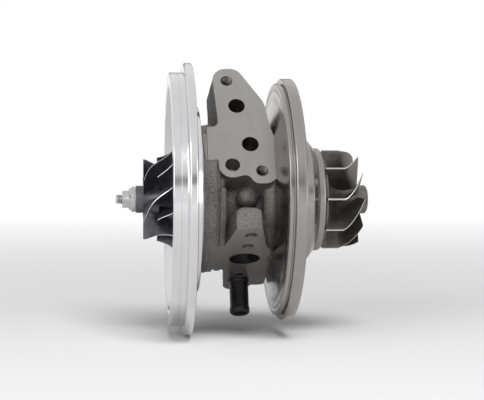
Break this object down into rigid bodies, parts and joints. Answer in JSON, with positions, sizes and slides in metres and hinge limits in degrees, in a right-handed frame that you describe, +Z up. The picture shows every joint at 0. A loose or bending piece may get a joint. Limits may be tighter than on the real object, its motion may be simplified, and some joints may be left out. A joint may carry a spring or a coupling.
{
  "type": "turbo cartridge",
  "caption": "Turbo cartridge: compressor and turbine wheels on one shaft, floating bearings, cooled bearing housing with oil and coolant flanges, backplate and heat shield.",
  "frame": {"origin": "on the shaft axis, in the mounting face of the turbine-end disc, where the pilot starts", "axes": "+X along the shaft towards the turbine, +Z up as in the picture, +Y away from the camera"},
  "size_m": [0.1285, 0.1378, 0.1378],
  "materials": {
    "bearing_housing": "cast, with machined faces",
    "compressor_backplate": "fine turned",
    "backplate_screws": "black oxide",
    "backplate_seal_ring": "smooth",
    "compressor_wheel": "cast, dark satin",
    "shaft_nut": "bright plated",
    "rotor_shaft": "ground",
    "turbine_wheel": "cast nickel alloy",
    "heat_shield": "pressed sheet",
    "journal_bearing_compressor_end": "turned bronze",
    "journal_bearing_turbine_end": "turned bronze",
    "bearing_retaining_rings": "spring steel",
    "thrust_bearing": "turned bronze",
    "thrust_bearing_pins": "ground",
    "thrust_collar": "ground",
    "oil_flinger": "turned",
    "oil_baffle": "sheet",
    "piston_ring_compressor_end": "ground",
    "piston_ring_turbine_end": "ground",
    "oil_inlet_orifice": "bright",
    "coolant_nipple": "black coated steel"
  },
  "bodies": {
    "housing": {"bearing_housing": "bearing_housing", "compressor_backplate": "compressor_backplate", "backplate_screws": "backplate_screws", "backplate_seal_ring": "backplate_seal_ring", "heat_shield": "heat_shield", "bearing_retaining_rings": "bearing_retaining_rings", "thrust_bearing": "thrust_bearing", "thrust_bearing_pins": "thrust_bearing_pins", "oil_baffle": "oil_baffle", "piston_ring_compressor_end": "piston_ring_compressor_end", "piston_ring_turbine_end": "piston_ring_turbine_end", "oil_inlet_orifice": "oil_inlet_orifice", "coolant_nipple": "coolant_nipple"},
    "rotor": {"rotor_shaft": "rotor_shaft", "turbine_wheel": "turbine_wheel", "compressor_wheel": "compressor_wheel", "shaft_nut": "shaft_nut", "thrust_collar": "thrust_collar", "oil_flinger": "oil_flinger"},
    "bush_compressor_end": {"journal_bearing_compressor_end": "journal_bearing_compressor_end"},
    "bush_turbine_end": {"journal_bearing_turbine_end": "journal_bearing_turbine_end"}
  },
  "joints": [
    {"name": "rotor_spin", "type": "hinge", "parent": "housing", "child": "rotor", "pos_m": [0, 0, 0], "axis": [1, 0, 0], "continuous": true},
    {"name": "bush_compressor_end_spin", "type": "hinge", "parent": "housing", "child": "bush_compressor_end", "pos_m": [0, 0, 0], "axis": [1, 0, 0], "continuous": true},
    {"name": "bush_turbine_end_spin", "type": "hinge", "parent": "housing", "child": "bush_turbine_end", "pos_m": [0, 0, 0], "axis": [1, 0, 0], "continuous": true}
  ]
}
